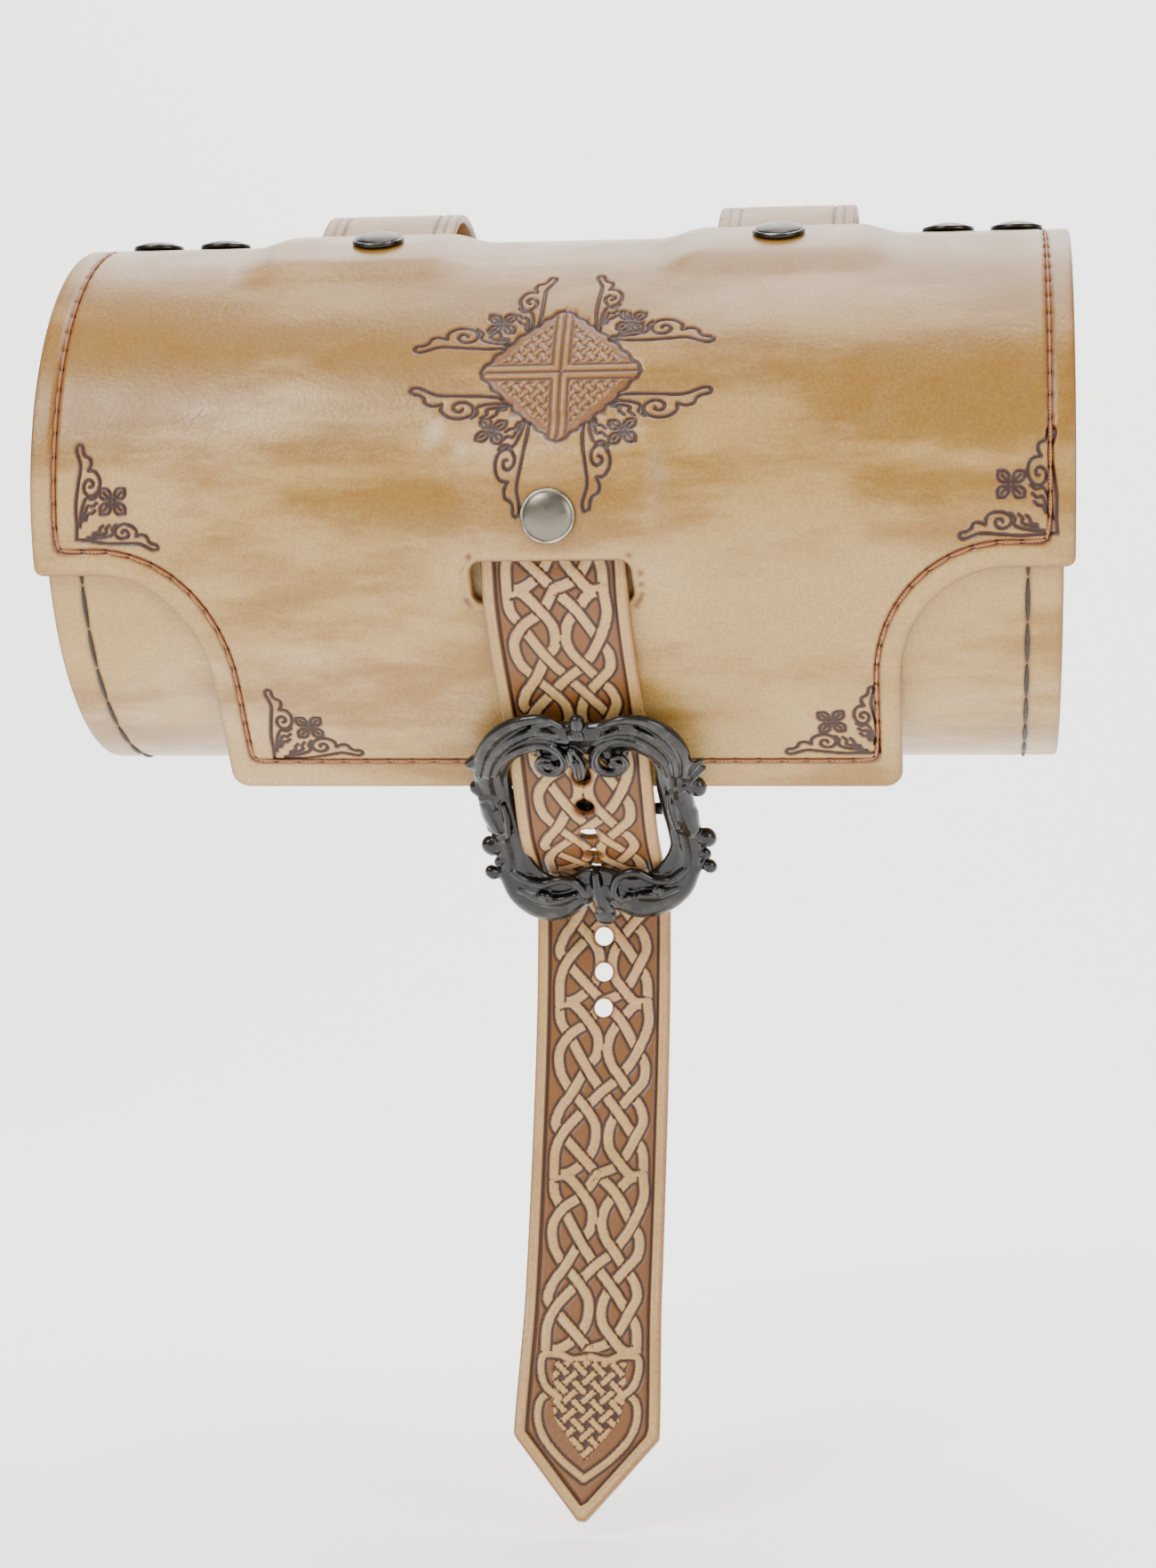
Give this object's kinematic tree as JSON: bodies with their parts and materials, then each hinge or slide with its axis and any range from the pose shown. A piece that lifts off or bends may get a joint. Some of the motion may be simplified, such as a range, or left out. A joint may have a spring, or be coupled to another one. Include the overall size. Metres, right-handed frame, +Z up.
{
  "type": "medieval belt pouch",
  "caption": "Barrel-shaped leather belt pouch with a scooped flap, two belt loops and a tooled strap closed by an ornate cast buckle.",
  "frame": {"origin": "the belt's line, midway between the barrel and its two belt loops", "axes": "+X along the barrel and the belt, to the right as seen from the front; -Y to the front; +Z up"},
  "size_m": [0.286, 0.1617, 0.3834],
  "materials": {
    "natural_leather": "undyed vegetable-tanned leather, burnished darker edges, soft sheen",
    "tooled_leather": "tooled interlace with brown dye in the recesses, matt to soft sheen",
    "dark_cast_metal": "blackened cast metal with worn bright high points",
    "antique_nickel": "antiqued nickel rivet caps"
  },
  "bodies": {
    "root": {"body_tube": "natural_leather", "end_cap_left": "natural_leather", "end_cap_right": "natural_leather", "flap": "natural_leather", "belt_loop_left": "natural_leather", "belt_loop_right": "natural_leather", "buckle_chape": "natural_leather", "closure_strap": "tooled_leather", "buckle_frame": "dark_cast_metal", "buckle_prong": "dark_cast_metal", "rivet_side_left_outer": "antique_nickel", "rivet_side_left_inner": "antique_nickel", "rivet_side_right_inner": "antique_nickel", "rivet_side_right_outer": "antique_nickel", "rivet_loop_left_front": "antique_nickel", "rivet_loop_right_front": "antique_nickel", "rivet_loop_left_rear": "antique_nickel", "rivet_loop_right_rear": "antique_nickel", "rivet_strap": "antique_nickel", "rivet_chape": "antique_nickel"}
  },
  "joints": []
}
